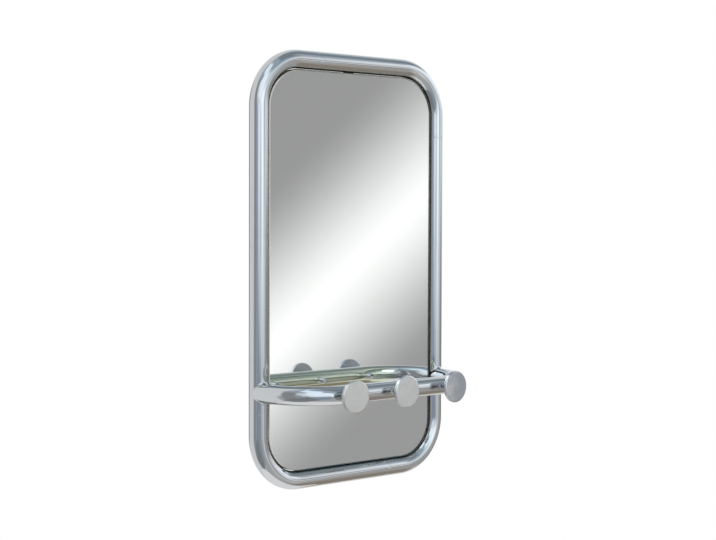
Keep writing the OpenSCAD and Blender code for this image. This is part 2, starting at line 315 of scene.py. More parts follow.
def bright_metal(name, wear, colour, dull, rough, painted_mirror_tint=None):
    """Polished or plated metal with smears and hairlines; a painted green tint, standing in for light
    bounced off the mirror, colours it behind the rail.
    """
    r = Finish(name, Metallic=1.0)
    marks = r.worn(wear, 1.0)
    tone = r.mix(marks["Smear"], rgb(*colour), rgb(*dull))
    tone = r.mix(r.product(marks["Pit"], 0.8), tone, rgb(0.10, 0.08, 0.06))
    if painted_mirror_tint:
        # painted reflection: a green tint where the rail faces the mirror, for light bounced between them
        tone = r.mix(behind_rail(r), tone, rgb(*painted_mirror_tint))
    haze = r.span(marks["Smear"], 0.0, 1.0, rough, rough + 0.07, "LINEAR")
    haze = r.math("ADD", haze, r.product(marks["Scratch"], 0.12))
    return r.done(tone, haze, r.bump(marks["Height"], 0.15, 0.02 * MM))


def turned_metal(name, wear):
    """The knobs: plated after turning, so the face keeps faint rings round its centre.

    The left one is a little darker, and the right one turns bluish and darker in blotches towards its
    right.
    """
    r = Finish(name, Metallic=1.0)
    marks = r.worn(wear, 1.0)
    along = r.parts(r.add("ShaderNodeUVMap").outputs["UV"])["Y"]
    ring = r.add("ShaderNodeTexNoise", {"W": r.product(along, 5200.0), "Scale": 1.0, "Detail": 2.0},
                 noise_dimensions="1D").outputs["Fac"]
    soft = r.noise(r.place, 70.0, 3.0, 0.6)
    tone = r.mix(r.span(soft, 0.3, 0.75), rgb(0.72, 0.71, 0.70), rgb(0.655, 0.65, 0.645))
    across = r.parts(r.place)["X"]
    # Tone by place: darker on the left knob, and bluer and darker in blotches towards the right knob's
    # right side.
    tone = r.mix(r.span(across, -60 * MM, -75 * MM), tone, rgb(0.86, 0.865, 0.84), "MULTIPLY")
    blotch = r.product(r.math("SUBTRACT", r.noise(r.place, 85.0), 0.5), 60 * MM)
    bluer_to_right = r.span(r.math("ADD", across, blotch), 70 * MM, 118 * MM)
    tone = r.mix(bluer_to_right, tone, rgb(0.64, 0.68, 0.75), "MULTIPLY")
    tone = r.mix(marks["Scratch"], tone, rgb(0.72, 0.73, 0.74))
    haze = r.span(ring, 0.3, 0.7, 0.25, 0.32, "LINEAR")
    haze = r.math("ADD", haze, r.product(marks["Smear"], 0.08))
    sway = r.bump(r.noise(r.place, 120.0), 1.0, 0.2 * MM)
    return r.done(tone, haze, r.bump(ring, 0.12, 0.01 * MM, sway))


GLASS_IOR = 1.52


def clear_glass():
    """Clear float glass with the faint green of its iron."""
    r = Finish("clear glass", Transmission_Weight=1.0, IOR=GLASS_IOR)
    film = r.span(r.noise(r.place, 7.0, 4.0, 0.6), 0.45, 0.8)
    tone = r.mix(film, rgb(0.972, 0.984, 0.978), rgb(0.962, 0.974, 0.969))
    return r.done(tone, r.product(film, 0.004))


def ground_edge():
    """The glass's ground edge, with painted light and shade by side: a painted light edge at the left, a
    painted olive half-light above, painted teal shade below and painted dark shade at the right.
    """
    r = Finish("ground glass edge", IOR=GLASS_IOR)
    grit = r.noise(r.place, 1500.0, 2.0, 0.7)
    wheel = r.noise(r.stretch(r.place, (90.0, 700.0, 90.0)), 1.0, 3.0, 0.6)
    # Painted light and shade by side: pale at the left, dark at the right, olive along the top and dark
    # teal along the bottom.
    painted_left_light = r.mix(grit, rgb(0.90, 0.88, 0.84), rgb(0.98, 0.96, 0.92))
    painted_left_light = r.mix(r.span(wheel, 0.55, 0.75), painted_left_light, rgb(0.74, 0.73, 0.68))
    painted_right_shade = r.mix(wheel, rgb(0.050, 0.055, 0.047), rgb(0.090, 0.095, 0.080))
    thin = r.mix(grit, rgb(0.60, 0.60, 0.50), rgb(0.70, 0.70, 0.60))
    painted_bottom_shade = r.mix(grit, rgb(0.14, 0.21, 0.22), rgb(0.20, 0.27, 0.28))
    parts = r.parts(r.place)
    ragged = r.product(wheel, 20 * MM)
    across = r.math("ADD", parts["X"], ragged)
    up = r.math("ADD", parts["Z"], ragged)
    tone = r.mix(r.span(across, GLASS_LOW.x + 45 * MM, GLASS_LOW.x + 75 * MM), painted_left_light, painted_right_shade)
    # thin holds the painted olive half-light along the top edge
    tone = r.mix(r.span(up, GLASS_HIGH.z - 10 * MM, GLASS_HIGH.z + 2 * MM), tone, thin)
    tone = r.mix(r.span(up, GLASS_LOW.z + 24 * MM, GLASS_LOW.z + 12 * MM), tone, painted_bottom_shade)
    return r.done(tone, r.span(grit, 0.3, 0.7, 0.35, 0.6, "LINEAR"))


def silver():
    r = Finish("silvering", Metallic=1.0)
    cloud = r.noise(r.place, 5.0, 3.0)
    return r.done(r.mix(cloud, rgb(0.90, 0.905, 0.90), rgb(0.93, 0.935, 0.93)), r.product(cloud, 0.006))


PLY_LAYER = 1.5 * MM


def stained_board(dust):
    """Plywood stained black: long grain on its faces and its layers at the edge."""
    r = Finish("stained plywood")
    faces = r.add("ShaderNodeNewGeometry").outputs["Normal"]
    edge = r.span(r.math("ABSOLUTE", r.parts(faces)["Y"]), 0.4, 0.6, 1.0, 0.0)
    grain = r.noise(r.stretch(r.place, (260.0, 60.0, 9.0)), 1.0, 5.0, 0.65, 0.6)
    pores = r.noise(r.stretch(r.place, (2200.0, 500.0, 60.0)), 1.0)
    depth = r.math("SUBTRACT", r.parts(r.place)["Y"], BOARD_BACK)
    ply = r.span(r.math("PINGPONG", depth, PLY_LAYER), 0.55 * MM, 0.85 * MM)
    face = r.mix(r.span(grain, 0.32, 0.7), rgb(0.012, 0.010, 0.009), rgb(0.034, 0.028, 0.024))
    face = r.mix(r.product(r.span(pores, 0.62, 0.72), 0.6), face, rgb(0.004, 0.004, 0.004))
    side = r.mix(ply, rgb(0.050, 0.036, 0.026), rgb(0.110, 0.078, 0.052))
    tone = r.dusty(dust, faces, 0.35, r.mix(edge, face, side), rgb(0.30, 0.28, 0.25))
    height = r.math("ADD", r.product(grain, 0.7), r.product(pores, -0.3))
    return r.done(tone, r.span(grain, 0.2, 0.8, 0.48, 0.72, "LINEAR"), r.bump(height, 0.35, 0.12 * MM))


def foam():
    r = Finish("foam tape", Roughness=0.9)
    cells = r.cells(r.place, 2600.0)
    tone = r.mix(r.span(cells, 0.1, 0.7), rgb(0.42, 0.41, 0.37), rgb(0.66, 0.65, 0.60))
    return r.done(tone, normal=r.bump(cells, 0.5, 0.1 * MM))


def zinc(name, wear, rough):
    """Zinc plate, passivated: a bluish grey with a faint warm bloom and cloudy spangle."""
    r = Finish(name, Metallic=1.0)
    cloud = r.noise(r.place, 55.0, 4.0, 0.6)
    bloom = r.span(r.noise(r.place, 18.0), 0.4, 0.7)
    tone = r.mix(r.span(cloud, 0.3, 0.7), rgb(0.44, 0.45, 0.47), rgb(0.56, 0.57, 0.58))
    tone = r.mix(r.product(bloom, 0.45), tone, rgb(0.54, 0.51, 0.42))
    tone = r.mix(r.worn(wear, 1.0)["Scratch"], tone, rgb(0.74, 0.75, 0.76))
    haze = r.span(cloud, 0.25, 0.75, rough - 0.06, rough + 0.1, "LINEAR")
    return r.done(tone, haze, r.bump(cloud, 0.2, 0.05 * MM))


def rubber(dust):
    r = Finish("moulded rubber")
    faces = r.add("ShaderNodeNewGeometry").outputs["Normal"]
    grain = r.noise(r.place, 1400.0, 3.0, 0.6)
    tone = r.mix(r.span(grain, 0.3, 0.7), rgb(0.014, 0.014, 0.014), rgb(0.028, 0.028, 0.027))
    tone = r.dusty(dust, faces, 0.3, tone, rgb(0.28, 0.27, 0.25))
    return r.done(tone, r.span(grain, 0.25, 0.75, 0.55, 0.75, "LINEAR"), r.bump(grain, 0.3, 0.04 * MM))


def drawn_steel():
    """Bare cold-drawn steel, for the pieces that are hidden inside the tubes."""
    r = Finish("drawn steel", Metallic=1.0)
    lines = r.noise(r.stretch(r.place, (30.0, 900.0, 900.0)), 1.0, 3.0)
    tone = r.mix(lines, rgb(0.30, 0.29, 0.28), rgb(0.42, 0.41, 0.40))
    return r.done(tone, r.span(lines, 0.3, 0.7, 0.3, 0.45, "LINEAR"))


# ---- meshes

def show(thing):
    """Puts an object in the scene."""
    bpy.context.scene.collection.objects.link(thing)
    return thing


def new_piece(name, bm, material, smooth_angle=35.0):
    """Turns a bmesh into an object of the scene, shaded smooth up to smooth_angle degrees."""
    mesh = bpy.data.meshes.new(name)
    bm.to_mesh(mesh)
    bm.free()
    mesh.materials.append(material)
    mesh.shade_smooth()
    mesh.set_sharp_from_angle(angle=math.radians(smooth_angle))
    return show(bpy.data.objects.new(name, mesh))


def stand_for(piece, node):
    """The piece rides on the frame and is shown in place of a CAD node."""
    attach(piece, "root")
    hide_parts(node)


def arc(centre_u, centre_v, radius, start, end, steps):
    """Points along an arc in a plane, with its angles in degrees."""
    turns = [math.radians(start + (end - start) * i / steps) for i in range(steps + 1)]
    return [(centre_u + radius * math.cos(t), centre_v + radius * math.sin(t)) for t in turns]


def skin(bm, rows, closed_rows=False, capped=False, uv_of=None):
    """Quads between closed rows of as many points each.

    closed_rows joins the last row to the first. capped puts a face over each end and returns both.
    """
    uv = bm.loops.layers.uv.verify()
    grid = [[bm.verts.new(point) for point in row] for row in rows]
    row_count = len(grid)
    size = len(grid[0])
    for i in range(row_count if closed_rows else row_count - 1):
        ahead = grid[(i + 1) % row_count]
        for j in range(size):
            k = (j + 1) % size
            face = bm.faces.new((grid[i][j], grid[i][k], ahead[k], ahead[j]))
            if uv_of:
                marks = (uv_of(i, j), uv_of(i, j + 1), uv_of(i + 1, j + 1), uv_of(i + 1, j))
                for loop, mark in zip(face.loops, marks):
                    loop[uv].uv = mark
    return [bm.faces.new(row) for row in (grid[0], grid[-1])] if capped else []


def lathe(bm, outline, place, sides, foot=None):
    """Turns an outline of (radius, height) about an axis that starts at place and runs along -Y.

    foot(z) gives the height of the outline's first point, where the piece is seated on a tube.
    """
    lengths = [0.0]
    for (r0, h0), (r1, h1) in zip(outline, outline[1:]):
        lengths.append(lengths[-1] + math.hypot(r1 - r0, h1 - h0))
    whole = lengths[-1]
    rows = []
    for radius, height in outline:
        row = []
        for j in range(sides):
            turn = math.tau * j / sides
            x = radius * math.cos(turn)
            z = radius * math.sin(turn)
            seat = foot(z) if foot and (radius, height) == outline[0] else height
            row.append(place + Vector((x, -seat, z)))
        rows.append(row)
    skin(bm, rows, capped=True, uv_of=lambda i, j: (j / sides, whole - lengths[i]))
    bmesh.ops.recalc_face_normals(bm, faces=bm.faces)


# The bending clamp's shallow ring behind each corner: its place from the bend's end, its depth, how
# far its ridges lie apart, how many such spaces it reaches, and the stations that shape it.
CLAMP_AT = 38 * MM
CLAMP_DEPTH = 0.26 * MM
CLAMP_PITCH = 5.5 * MM
CLAMP_REACH = 1.4
CLAMP_STEP = 0.7 * MM
CLAMP_STOPS = 12
# The steps along the tubes' centre lines.
QUARTER_TURN = math.radians(90)
BEND_STEPS = 36
STRAIGHT_STEP = 12 * MM
LEG_STEP = 6 * MM


class Run:
    """A centre line of straight stretches and quarter bends in one plane, as a row of stations.

    Each holds its point, its direction, its share of a bend's crown and its length along the tube.
    """

    def __init__(self, across):
        self.across = across
        self.stations = []
        self.marks = []
        self.length = 0.0

    def straight(self, start, end, spacing, mark=None):
        """A straight stretch. A mark that lies mark metres along it gets stations close together."""
        whole = (end - start).length
        steps = max(1, round(whole / spacing))
        along = (end - start).normalized()
        stops = [whole * i / steps for i in range(steps)]
        if mark:
            self.marks.append(self.length + mark)
            close = [mark + CLAMP_STEP * i for i in range(-CLAMP_STOPS, CLAMP_STOPS + 1)]
            reach = CLAMP_STEP * (CLAMP_STOPS + 1)
            stops = sorted([stop for stop in stops if abs(stop - mark) > reach] + close)
        for stop in stops:
            self.stations.append((start + along * stop, along, 0.0, self.length + stop))
        self.length += whole

    def bend(self, centre, start):
        """A quarter bend about centre from the point start, turning about the plane's normal."""
        whole = (start - centre).length * QUARTER_TURN
        for i in range(BEND_STEPS):
            share = i / BEND_STEPS
            arm = Matrix.Rotation(QUARTER_TURN * share, 3, self.across) @ (start - centre)
            along = self.across.cross(arm).normalized()
            crown = min(1.0, 4.0 * min(share, 1 - share))
            self.stations.append((centre + arm, along, crown, self.length + whole * share))
        self.length += whole

    def end(self, point, along):
        self.stations.append((point, along, 0.0, self.length))


# How far a bend flattens the tube, and how far the drawn tube strays from a true cylinder.
BEND_FLAT = 0.014
DRAWN_WAVE = 0.0022
TUBE_SIDES = 112


def tube_rows(run, seed):
    """The rings of a tube's skin: slightly oval in a bend, slightly wavy elsewhere."""
    rows = []
    for point, along, crown, length in run.stations:
        side = along.cross(run.across).normalized()
        dent = 0.0
        for mark in run.marks:
            off = (length - mark) / CLAMP_PITCH
            if abs(off) < CLAMP_REACH:
                ridges = math.exp(-2.5 * off * off) * math.cos(math.tau * off) ** 2
                dent = CLAMP_DEPTH / TUBE_R * ridges
        ring = []
        for j in range(TUBE_SIDES):
            turn = math.tau * j / TUBE_SIDES
            out = side * math.cos(turn) + run.across * math.sin(turn)
            flat = BEND_FLAT * crown * math.cos(turn) ** 2
            sample = Vector((math.cos(turn) * 1.2, math.sin(turn) * 1.2, length * 26.0)) + Vector(seed)
            wave = DRAWN_WAVE * (0.5 + 0.5 * noise.noise(sample)) * (0.35 + 0.65 * crown)
            bite = dent * max(0.0, 0.4 + noise.noise(sample * 3))
            ring.append(point + out * TUBE_R * (1 - flat - wave - bite))
        rows.append(ring)
    return rows


def frame_loop():
    """The frame's centre line, from the middle of the bottom run round to the left."""
    run = Run(Vector((0, 1, 0)))
    left, right, low, high = -RING_HALF_W, RING_HALF_W, -RING_HALF_H, RING_HALF_H
    half_x = RING_HALF_W - CORNER_R
    half_z = RING_HALF_H - CORNER_R

    def at(x, z):
        return RING + Vector((x, 0, z))

    run.straight(at(0, low), at(-half_x, low), STRAIGHT_STEP)
    run.bend(at(-half_x, -half_z), at(-half_x, low))
    run.straight(at(left, -half_z), at(left, half_z), STRAIGHT_STEP, CLAMP_AT)
    run.bend(at(-half_x, half_z), at(left, half_z))
    run.straight(at(-half_x, high), at(half_x, high), STRAIGHT_STEP, CLAMP_AT)
    run.bend(at(half_x, half_z), at(half_x, high))
    run.straight(at(right, half_z), at(right, -half_z), STRAIGHT_STEP, CLAMP_AT)
    run.bend(at(half_x, -half_z), at(right, -half_z))
    run.straight(at(half_x, low), at(0, low), STRAIGHT_STEP, CLAMP_AT)
    return run


def rail_line():
    """The rail's centre line, from the left end's weld to the right end's."""
    run = Run(Vector((0, 0, 1)))
    left, right = -RING_HALF_W, RING_HALF_W
    half = RING_HALF_W - RAIL_BEND_R
    bend_y = RAIL_Y + RAIL_BEND_R
    root = RING.y - TUBE_R - 1 * MM

    def at(x, y):
        return Vector((x, y, RAIL_Z))

    run.straight(at(left, root), at(left, bend_y), LEG_STEP)
    run.bend(at(-half, bend_y), at(left, bend_y))
    run.straight(at(-half, RAIL_Y), at(half, RAIL_Y), STRAIGHT_STEP)
    run.bend(at(half, bend_y), at(half, RAIL_Y))
    run.straight(at(right, bend_y), at(right, root), LEG_STEP)
    run.end(at(right, root), Vector((0, 1, 0)))
    return run


# How far the coped end of the rail beds into the side tube's skin.
COPE_BITE = 0.12 * MM


def make_tube(name, node, material, rows, lengths, ring):
    """A tube's skin from its rows of points. Its UV map runs round it and, in metres, along it."""
    bm = bmesh.new()
    skin(bm, rows, closed_rows=ring, uv_of=lambda i, j: (j / TUBE_SIDES, lengths[i]))
    bmesh.ops.recalc_face_normals(bm, faces=bm.faces)
    stand_for(new_piece(name, bm, material, 60), node)


def make_frame_tube(material):
    run = frame_loop()
    lengths = [s[3] for s in run.stations] + [run.length]
    make_tube("bent_frame_tube", "frame_tube", material, tube_rows(run, (3.0, 11.0, 0.0)), lengths, True)


def make_hook_rail(material):
    """The rail, with its ends cut to the round of the side tubes."""
    run = rail_line()
    rows = tube_rows(run, (-7.0, 2.0, 5.0))
    for row, x in ((rows[0], -RING_HALF_W), (rows[-1], RING_HALF_W)):
        coped = []
        for point in row:
            off = max(-TUBE_R, min(TUBE_R, point.x - x))
            coped.append(Vector((point.x, RING.y + COPE_BITE - math.sqrt(TUBE_R ** 2 - off ** 2), point.z)))
        rows.insert(0 if x < 0 else len(rows), coped)
    lengths = [0.0] + [s[3] for s in run.stations] + [run.length]
    make_tube("bowed_hook_rail", "hook_rail", material, rows, lengths, False)


# The fillet of the rail's weld: its leg at the top and bottom of the joint, and the height and
# spacing of the ripples that the torch left before the plating.
FILLET_LEG = 3.4 * MM
FILLET_RIPPLE = 0.10 * MM
RIPPLE_PITCH = 2.2 * MM


def make_rail_weld(side, node, material):
    """A fillet above and below the joint. It runs out where the two tubes' sides meet."""
    centre = Vector((side * RING_HALF_W, RING.y, RAIL_Z))
    seam_steps, leg_steps = 90, 8
    bm = bmesh.new()
    for up in (1, -1):
        rows = []
        for i in range(seam_steps + 1):
            turn = math.pi * i / seam_steps
            x, z = TUBE_R * math.cos(turn), TUBE_R * math.sin(turn)
            seam = Vector((x, -z, z))
            leg = FILLET_LEG * max(0.0, math.sin(turn)) ** 0.8 + 0.02 * MM
            on_frame = seam + Vector((0, 0, leg))
            on_rail = seam + Vector((0, -leg, 0))
            hollow = seam.lerp(on_frame.lerp(on_rail, 0.5), 0.25)
            out = Vector((2 * x, -z, z)).normalized()
            ripple = FILLET_RIPPLE * math.sin(turn) * math.sin(math.tau * turn * TUBE_R / RIPPLE_PITCH)
            row = []
            for j in range(leg_steps + 1):
                t = j / leg_steps
                point = on_frame * (1 - t) ** 2 + hollow * 2 * t * (1 - t) + on_rail * t ** 2
                row.append(point + out * ripple * math.sin(math.pi * t))
            row.append(seam)
            rows.append([centre + Vector((p.x, p.y, p.z * up)) for p in row])
        skin(bm, rows, capped=True)
    bmesh.ops.remove_doubles(bm, verts=bm.verts, dist=2 * SAME_POINT)
    bmesh.ops.recalc_face_normals(bm, faces=bm.faces)
    stand_for(new_piece(node + "_fillet", bm, material, 50), node)


SEAT_BITE = 0.05 * MM


def on_rail(z):
    """How far before the rail's centre line its skin lies at a height z, less the seat's bite."""
    return math.sqrt(TUBE_R ** 2 - z ** 2) - SEAT_BITE


def make_knob(name, place, material):
    """A hook's neck, flare and disc, with the small radii that a turning tool leaves."""
    neck_r, flare = 7.5 * MM, 4.2 * MM
    disc_back = HOOK_REACH - DISC_T
    back_round = 0.8 * MM
    bevel, bevel_h = 1.4 * MM, 0.7 * MM
    edge_r = 0.22 * MM
    crown = 0.06 * MM
    slope = math.degrees(math.atan2(bevel_h, bevel))
    outline = [(neck_r, TUBE_R), (neck_r, TUBE_R + 1.5 * MM)]
    outline += arc(neck_r + flare, disc_back - flare, flare, 180, 90, 10)
    outline += [(DISC_R - back_round - 1 * MM, disc_back)]
    outline += arc(DISC_R - back_round, disc_back + back_round, back_round, -90, 0, 6)
    outline += arc(DISC_R - edge_r, HOOK_REACH - bevel_h - edge_r, edge_r, 0, 90 - slope, 4)
    outline += arc(DISC_R - bevel - edge_r * 0.4, HOOK_REACH - edge_r - crown, edge_r, 90 - slope, 90, 4)
    face_r = outline[-1][0]
    face_steps = 12
    for i in range(1, face_steps):
        r = face_r * (1 - i / face_steps)
        outline.append((r, HOOK_REACH - crown * (r / face_r) ** 2))
    outline.append((0.15 * MM, HOOK_REACH))
    bm = bmesh.new()
    lathe(bm, outline, Vector(), 160, on_rail)
    bm.transform(hook_axis(place))
    stand_for(new_piece("turned_knob_" + name, bm, material, 28), "hook_knob_" + name)


def make_peg(name, place, material):
    tip_r = 0.9 * MM
    outline = [(PEG_R, -TUBE_R), (PEG_R, -TUBE_R - 1.5 * MM), (PEG_R, -(PEG_TIP - tip_r - 0.5 * MM))]
    outline += [(PEG_R - tip_r + r, -(PEG_TIP - tip_r) - h) for r, h in arc(0, 0, tip_r, 0, 90, 8)]
    outline += [(PEG_R * 0.5, -PEG_TIP), (0.1 * MM, -PEG_TIP)]
    bm = bmesh.new()
    lathe(bm, outline, Vector(), 72, lambda z: -on_rail(z))
    bm.transform(hook_axis(place))
    stand_for(new_piece("round_peg_" + name, bm, material, 40), "hook_peg_" + name)


def round_outline(half_w, half_h, radius, steps):
    """Points of a rectangle with round corners, anticlockwise as seen from the front."""
    points = []
    for x, z, start in ((1, 1, 0), (-1, 1, 90), (-1, -1, 180), (1, -1, 270)):
        points += arc(x * (half_w - radius), z * (half_h - radius), radius, start, start + 90, steps)
    return points


def make_glass(clear, ground):
    """The plate, with its arrises taken off. Its back just takes in the silver's front."""
    arris = 0.5 * MM
    centre = (GLASS_LOW + GLASS_HIGH) / 2
    half = (GLASS_HIGH - GLASS_LOW) / 2
    front, back = GLASS_LOW.y, GLASS_HIGH.y + 0.02 * MM
    rows = []
    for y, inset in ((front, arris), (front + arris, 0.0), (back - arris, 0.0), (back, arris * 0.6)):
        outline = round_outline(half.x - inset, half.z - inset, PANEL_R - inset, 28)
        rows.append([Vector((centre.x + x, y, centre.z + z)) for x, z in outline])
    bm = bmesh.new()
    caps = skin(bm, rows, capped=True)
    for face in bm.faces:
        face.material_index = 0 if face in caps else 1
    bmesh.ops.recalc_face_normals(bm, faces=bm.faces)
    piece = new_piece("mirror_plate", bm, clear, 20)
    piece.data.materials.append(ground)
    stand_for(piece, "mirror_glass")


def softened(name, node, width, material):
    """A CAD node's shape with its sharp edges eased by a small bevel."""
    bm = bmesh.new()
    bm.from_mesh(NODES[node].data)
    bmesh.ops.remove_doubles(bm, verts=bm.verts, dist=SAME_POINT)
    bmesh.ops.dissolve_limit(bm, angle_limit=math.radians(0.5), verts=bm.verts, edges=bm.edges)
    piece = new_piece(name, bm, material, 40)
    ease(piece, width, 40)
    bake(piece)
    stand_for(piece, node)


def ease(piece, width, sharp):
    """Rounds the edges that are sharper than sharp degrees."""
    bevel = piece.modifiers.new("eased edges", "BEVEL")
    bevel.width = width
    bevel.segments = 2
    bevel.limit_method = "ANGLE"
    bevel.angle_limit = math.radians(sharp)


def bake(piece):
    """Applies the piece's modifiers into one plain mesh."""
    graph = bpy.context.evaluated_depsgraph_get()
    graph.update()
    made = bpy.data.meshes.new_from_object(piece.evaluated_get(graph), preserve_all_data_layers=True,
                                           depsgraph=graph)
    piece.modifiers.clear()
    piece.data = made


def make_bumpers(material):
    """Moulded feet with a rounded rim and a recess for the screw's head."""
    rim = 1.2 * MM
    hole_r, recess_r = 1.9 * MM, 5 * MM
    seat = 4 * MM
    bm = bmesh.new()
    for low, high in islands("wall_bumpers"):
        foot_r = (high.x - low.x) / 2
        face_r = foot_r - 1.5 * MM
        height = high.y - low.y
        centre = Vector(((low.x + high.x) / 2, low.y, (low.z + high.z) / 2))
        outline = [(hole_r, 0.0), (foot_r - 0.3 * MM, 0.0), (foot_r, -0.4 * MM)]
        outline += [(face_r + 0.05 * MM, -(height - rim))]
        outline += [(face_r - rim + r, -(height - rim) - h) for r, h in arc(0, 0, rim, 0, 90, 6)]
        outline += [(recess_r + 0.6 * MM, -height), (recess_r + 0.15 * MM, -height + 0.15 * MM)]
        outline += [(recess_r, -height + 0.6 * MM), (recess_r, -seat), (hole_r, -seat)]
        lathe(bm, outline, centre, 64)
    stand_for(new_piece("rubber_bumpers", bm, material, 40), "wall_bumpers")


# ---- what repeats, by Geometry Nodes

def nodes_piece(name, points, edges, tree, values):
    """An object with a Geometry Nodes tree on a mesh of points and edges, ready to bake."""
    mesh = bpy.data.meshes.new(name)
    mesh.from_pydata([tuple(p) for p in points], edges, [])
    piece = bpy.data.objects.new(name, mesh)
    modifier = piece.modifiers.new("make", "NODES")
    modifier.node_group = tree
    for item in tree.interface.items_tree:
        if item.item_type == "SOCKET" and item.in_out == "INPUT" and item.name in values:
            modifier[item.identifier] = values[item.name]
    return show(piece)


def geometry_tree(name, inputs):
    """A Geometry Nodes tree that takes a mesh and the named inputs and gives a mesh."""
    shape = ("Geometry", "Geometry")
    return new_tree("GeometryNodeTree", name, [shape + (None,)] + inputs, [shape])


def finish_tree(r, out, material, values):
    """Puts a real copy of one shape on every point, shaded smooth and with its material."""
    placed = r.add("GeometryNodeInstanceOnPoints", values).outputs["Instances"]
    real = r.shape("RealizeInstances", placed, {})
    smooth = r.shape("SetShadeSmooth", real, {"Shade Smooth": True})
    r.put(out["Geometry"], r.shape("SetMaterial", smooth, {"Material": material}))


def vector(r, x, y, z):
    return r.add("ShaderNodeCombineXYZ", {"X": x, "Y": y, "Z": z}).outputs["Vector"]


SCREW_BITE = 7 * MM
# How far a screw's shank runs up into its head.
SHANK_IN_HEAD = 0.3 * MM
# A pan head's dome is a superellipse: this power squares its shoulder.
PAN_SHOULDER = 0.42


def pan_screw_tree(material):
    """A pan-head screw with a cross recess at every point, each turned by chance about Y.

    The point is the seat of the head, and the head stands towards +Y.
    """
    tree, r, given, out = geometry_tree(
        "pan screw",
        [("Head radius", "Float", 4 * MM), ("Head height", "Float", 2.6 * MM),
         ("Shank radius", "Float", 1.75 * MM), ("Bite", "Float", SCREW_BITE),
         ("Slot width", "Float", 1 * MM), ("Slot length", "Float", 4.2 * MM),
         ("Slot depth", "Float", 1.5 * MM), ("Seed", "Int", 1)])
    around, rings = 40, 13
    grid = r.add("GeometryNodeMeshGrid", {"Size X": 1.0, "Size Y": 1.0, "Vertices X": around + 1,
                                          "Vertices Y": rings})
    flat = r.parts(r.add("GeometryNodeInputPosition").outputs["Position"])
    turn = r.product(flat["X"], math.tau)
    share = r.math("ADD", flat["Y"], 0.5)
    step = 1.0 / (rings - 1)
    rise = r.span(share, step, 1.0, 0.0, math.pi / 2, "LINEAR")
    rim = r.math("POWER", r.math("MAXIMUM", r.math("COSINE", rise), 0.0), PAN_SHOULDER)
    not_foot = r.math("GREATER_THAN", share, step / 2)
    radius = r.product(r.product(rim, not_foot), given["Head radius"])
    lift = r.math("POWER", r.math("MAXIMUM", r.math("SINE", rise), 0.0), PAN_SHOULDER * 1.6)
    height = r.product(r.product(lift, not_foot), given["Head height"])
    place = vector(r, r.product(radius, r.math("COSINE", turn)), height,
                   r.product(radius, r.math("SINE", turn)))
    head = r.shape("SetPosition", grid.outputs["Mesh"], {"Position": place})
    head = r.shape("MergeByDistance", head, {"Distance": 10 * SAME_POINT})
    cut = r.add("GeometryNodeMeshBoolean", {"Mesh 1": head}, operation="DIFFERENCE", solver="EXACT")
    for long, wide in (("Slot length", "Slot width"), ("Slot width", "Slot length")):
        size = vector(r, given[long], given["Slot depth"], given[wide])
        bar = r.add("GeometryNodeMeshCube", {"Size": size}).outputs["Mesh"]
        top = vector(r, 0.0, given["Head height"], 0.0)
        r.put(cut.inputs["Mesh 2"], r.shape("Transform", bar, {"Translation": top}))
    depth = r.math("ADD", given["Bite"], SHANK_IN_HEAD)
    shank = r.add("GeometryNodeMeshCylinder", {"Vertices": 24, "Radius": given["Shank radius"],
                                               "Depth": depth})
    middle = r.math("SUBTRACT", SHANK_IN_HEAD, r.product(depth, 0.5))
    shank = r.shape("Transform", shank.outputs["Mesh"], {
        "Rotation": (math.pi / 2, 0.0, 0.0), "Translation": vector(r, 0.0, middle, 0.0)})
    screw = r.add("GeometryNodeJoinGeometry")
    for piece in (cut.outputs["Mesh"], shank):
        r.put(screw.inputs["Geometry"], piece)
    chance = r.add("FunctionNodeRandomValue", {"Min": (0.0, 0.0, 0.0), "Max": (0.0, math.pi, 0.0),
                                               "Seed": given["Seed"]}, data_type="FLOAT_VECTOR")
    finish_tree(r, out, material, {"Points": given["Geometry"], "Instance": screw.outputs["Geometry"],
                                   "Rotation": chance.outputs["Value"]})
    return tree


def bead_tree(material):
    """A torch bead along every edge of the mesh: overlapping pools of slightly different sizes."""
    tree, r, given, out = geometry_tree(
        "weld bead",
        [("Bead radius", "Float", 1.4 * MM), ("Pitch", "Float", 1.1 * MM), ("Spread", "Float", 0.12),
         ("Seed", "Int", 1)])
    line = r.add("GeometryNodeMeshToCurve", {"Mesh": given["Geometry"]})
    even = r.add("GeometryNodeResampleCurve", {"Curve": line.outputs["Curve"], "Length": given["Pitch"]},
                 mode="LENGTH")
    pool = r.add("GeometryNodeMeshUVSphere", {"Segments": 20, "Rings": 12, "Radius": given["Bead radius"]})
    low = r.math("SUBTRACT", 1.0, given["Spread"])
    size = r.add("FunctionNodeRandomValue", {"Seed": given["Seed"]}, data_type="FLOAT_VECTOR")
    r.put(size.inputs["Min"], vector(r, low, low, low))
    r.put(size.inputs["Max"], (1.0, 1.0, 1.0))
    finish_tree(r, out, material, {"Points": even.outputs["Curve"], "Instance": pool.outputs["Mesh"],
                                   "Scale": size.outputs["Value"]})
    return tree


def make_screws(name, node, tree, seed):
    """Screws at the seats of one node's solids. A solid's box runs from the bite to the head's top."""
    boxes = islands(node)
    seats = [((low.x + high.x) / 2, low.y + SCREW_BITE + SHEET[node], (low.z + high.z) / 2)
             for low, high in boxes]
    first_low, first_high = boxes[0]
    piece = nodes_piece(name, seats, [], tree, {
        "Head radius": (first_high.x - first_low.x) / 2, "Head height": first_high.y - seats[0][1],
        "Bite": seats[0][1] - first_low.y, "Seed": seed})
    ease(piece, 0.12 * MM, 50)
    bake(piece)
    piece.data.set_sharp_from_angle(angle=math.radians(40))
    stand_for(piece, node)


